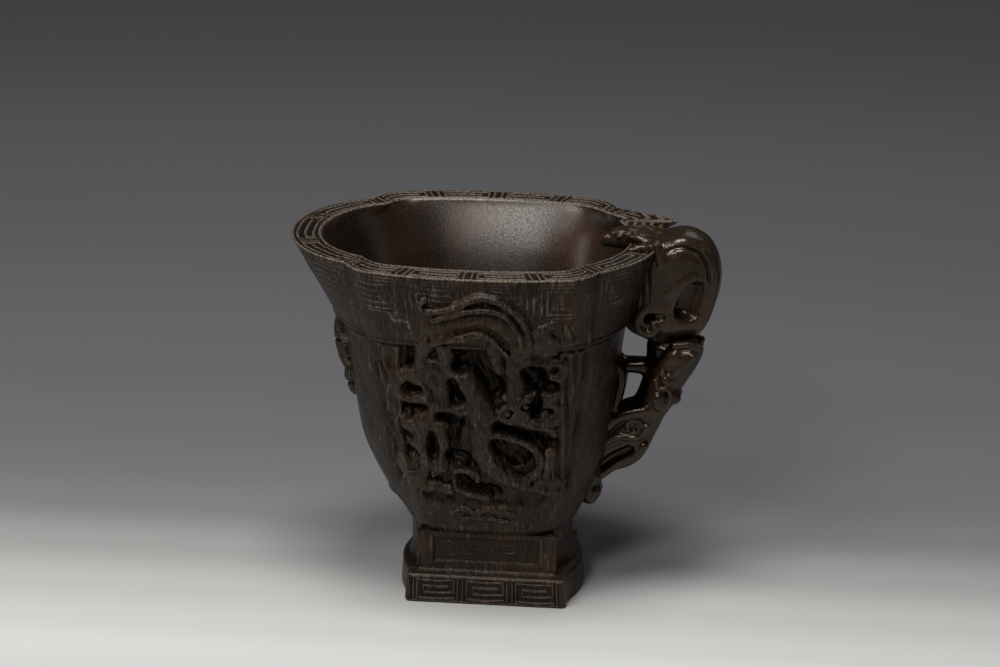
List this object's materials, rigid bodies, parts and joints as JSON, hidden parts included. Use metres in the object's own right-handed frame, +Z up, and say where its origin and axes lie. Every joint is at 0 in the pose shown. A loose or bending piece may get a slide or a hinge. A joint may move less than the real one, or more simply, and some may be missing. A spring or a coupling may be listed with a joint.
{
  "type": "horn drinking cup",
  "caption": "Carved dark horn cup with a lobed flared mouth and spout, dragons in relief, a pierced dragon handle and a stepped pedestal foot.",
  "frame": {"origin": "middle of the plinth's underside, where the cup stands", "axes": "+Z up, +X towards the handle, -X towards the spout, -Y towards the front of the picture"},
  "size_m": [0.1275, 0.0802, 0.1165],
  "materials": {
    "carved_horn": "carved dark horn, waxed satin",
    "polished_horn": "dark horn rubbed to a soft gloss",
    "inner_horn": "dark horn, polished inside of the cup"
  },
  "bodies": {
    "root": {"back_arch_dragon": "carved_horn", "back_climbing_dragon": "carved_horn", "back_scrolls": "carved_horn", "bowl": "carved_horn", "floor_plug": "inner_horn", "foot_stem": "carved_horn", "front_arch_dragon": "carved_horn", "front_climbing_dragon": "carved_horn", "front_scrolls": "carved_horn", "handle_arch": "polished_horn", "handle_branch": "polished_horn", "handle_pegs": "polished_horn", "plinth": "carved_horn", "spout_dragon": "carved_horn"}
  },
  "joints": []
}
